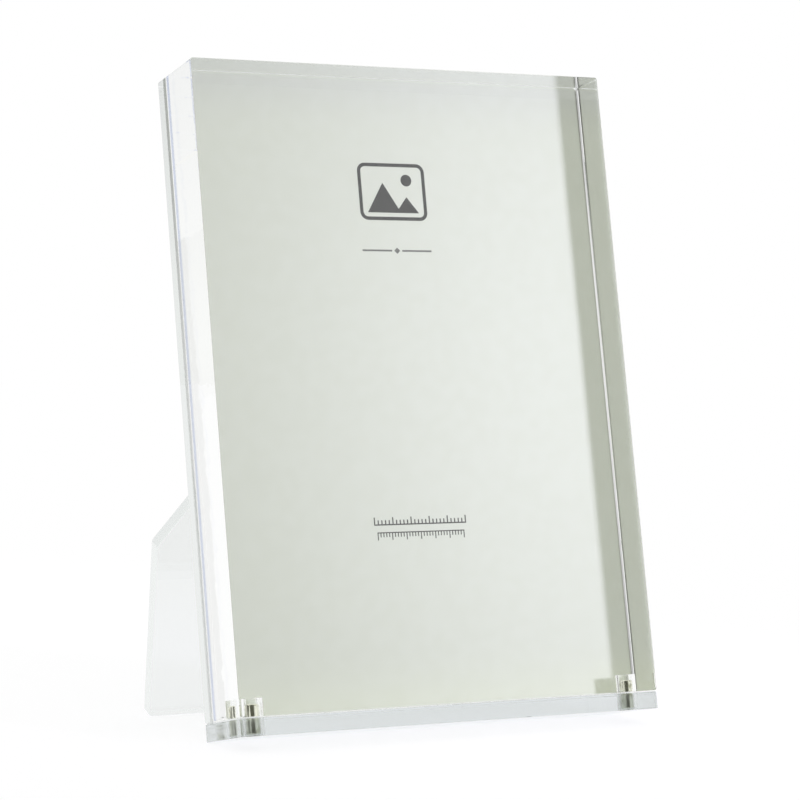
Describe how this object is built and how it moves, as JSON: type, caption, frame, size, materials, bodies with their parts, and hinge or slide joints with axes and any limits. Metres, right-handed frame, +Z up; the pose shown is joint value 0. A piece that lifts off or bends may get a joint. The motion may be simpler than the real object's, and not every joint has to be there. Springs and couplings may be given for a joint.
{
  "type": "photo frame",
  "caption": "Freestanding clear acrylic photo frame: a thick block set by corner magnets on a leaning stand with a base bar, back plate, sloping rear leg and card insert.",
  "frame": {"origin": "on the ground, at the centre of the bounding box's underside", "axes": "+Z up, the picture faces -Y and leans back towards +Y, +X to the viewer's right"},
  "size_m": [0.127, 0.0832, 0.1842],
  "materials": {
    "block_acrylic": "clear polished cast acrylic",
    "bar_acrylic": "clear polished acrylic sheet",
    "plate_acrylic": "clear polished acrylic sheet",
    "leg_acrylic": "clear polished acrylic sheet",
    "insert_card": null,
    "magnet_nickel": "nickel plated"
  },
  "bodies": {
    "stand": {"base_bar": "bar_acrylic", "back_plate": "plate_acrylic", "rear_leg": "leg_acrylic", "base_magnet_left": "magnet_nickel", "base_magnet_right": "magnet_nickel"},
    "block": {"front_block": "block_acrylic", "block_magnet_left": "magnet_nickel", "block_magnet_right": "magnet_nickel"},
    "insert": {"photo_insert": "insert_card"}
  },
  "joints": [
    {"name": "block_lift", "type": "slide", "parent": "stand", "child": "block", "axis": [0, 0.1891, 0.982], "range_m": [0, 0.185]},
    {"name": "insert_slide", "type": "slide", "parent": "stand", "child": "insert", "axis": [0, 0.1891, 0.982], "range_m": [0, 0.185]}
  ]
}
